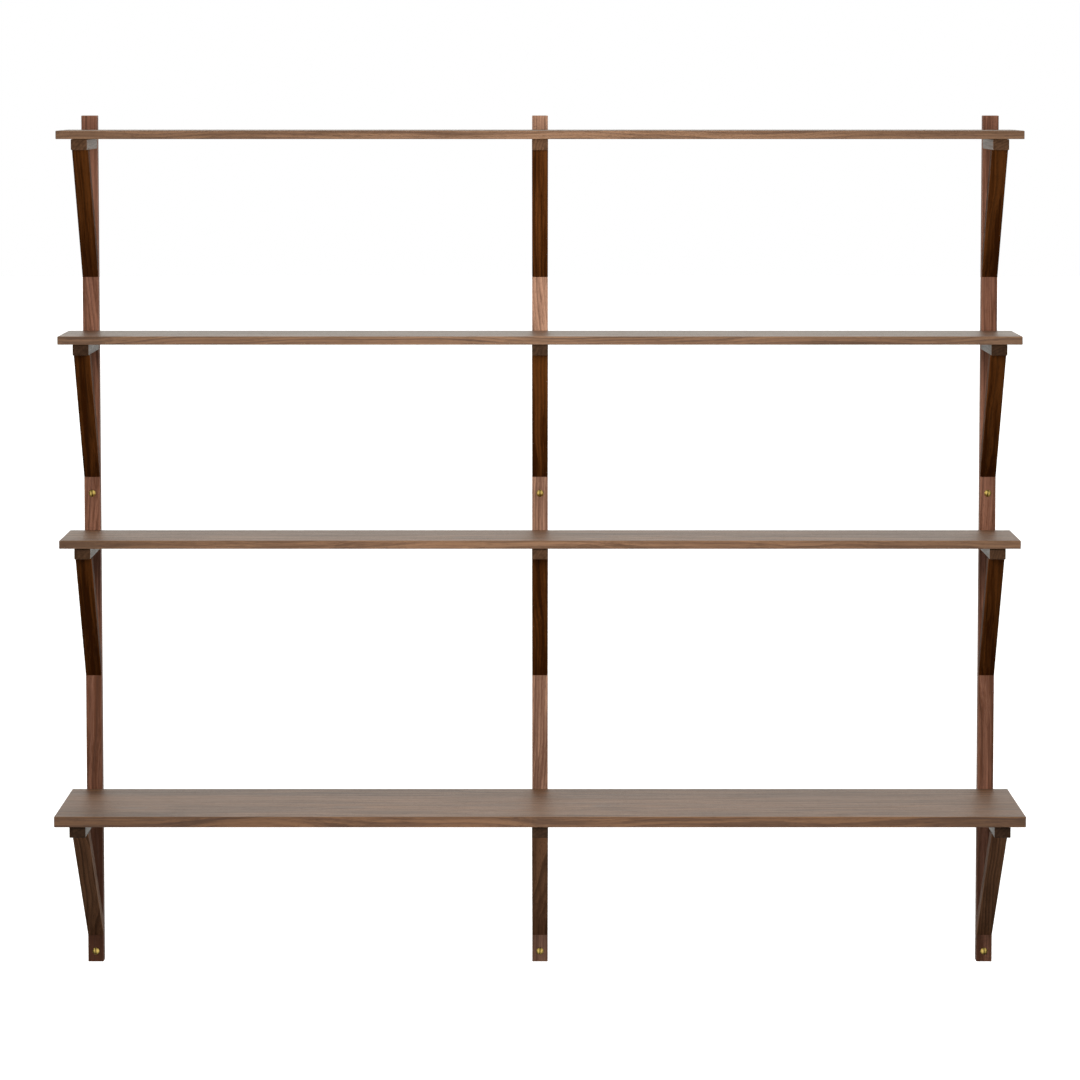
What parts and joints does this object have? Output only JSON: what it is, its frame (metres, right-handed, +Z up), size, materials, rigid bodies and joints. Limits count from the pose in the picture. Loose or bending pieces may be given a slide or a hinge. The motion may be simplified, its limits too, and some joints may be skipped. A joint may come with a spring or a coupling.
{
  "type": "wall shelf",
  "caption": "Wall-hung walnut shelf: slim uprights carry narrow upper boards and a deeper bottom board on arms braced by slanting struts, with slotted brass screws.",
  "frame": {"origin": "middle of the back face of the centre upright, on the wall plane, half way up the upright", "axes": "+X along the boards, +Y into the wall, +Z up, so that the front faces -Y"},
  "size_m": [1.62, 0.4, 1.465],
  "materials": {
    "board": "oiled walnut, long grain, greyish brown",
    "upright": "oiled walnut, reddish brown",
    "arm": "oiled walnut, dark end grain",
    "strut": "oiled walnut, dark brown",
    "wall_screw": "satin brass",
    "board_screw": "satin brass"
  },
  "bodies": {
    "root": {"upright_left": "upright", "upright_centre": "upright", "upright_right": "upright", "board_top": "board", "board_second": "board", "board_third": "board", "board_bottom": "board", "arm_top_left": "arm", "arm_top_centre": "arm", "arm_top_right": "arm", "arm_second_left": "arm", "arm_second_centre": "arm", "arm_second_right": "arm", "arm_third_left": "arm", "arm_third_centre": "arm", "arm_third_right": "arm", "arm_bottom_left": "arm", "arm_bottom_centre": "arm", "arm_bottom_right": "arm", "strut_top_left": "strut", "strut_top_centre": "strut", "strut_top_right": "strut", "strut_second_left": "strut", "strut_second_centre": "strut", "strut_second_right": "strut", "strut_third_left": "strut", "strut_third_centre": "strut", "strut_third_right": "strut", "strut_bottom_left": "strut", "strut_bottom_centre": "strut", "strut_bottom_right": "strut", "wall_screw_upper_left": "wall_screw", "wall_screw_upper_centre": "wall_screw", "wall_screw_upper_right": "wall_screw", "wall_screw_lower_left": "wall_screw", "wall_screw_lower_centre": "wall_screw", "wall_screw_lower_right": "wall_screw", "board_screw_rear_top_left": "board_screw", "board_screw_rear_top_centre": "board_screw", "board_screw_rear_top_right": "board_screw", "board_screw_rear_second_left": "board_screw", "board_screw_rear_second_centre": "board_screw", "board_screw_rear_second_right": "board_screw", "board_screw_rear_third_left": "board_screw", "board_screw_rear_third_centre": "board_screw", "board_screw_rear_third_right": "board_screw", "board_screw_rear_bottom_left": "board_screw", "board_screw_front_bottom_left": "board_screw", "board_screw_rear_bottom_centre": "board_screw", "board_screw_front_bottom_centre": "board_screw", "board_screw_rear_bottom_right": "board_screw", "board_screw_front_bottom_right": "board_screw"}
  },
  "joints": []
}
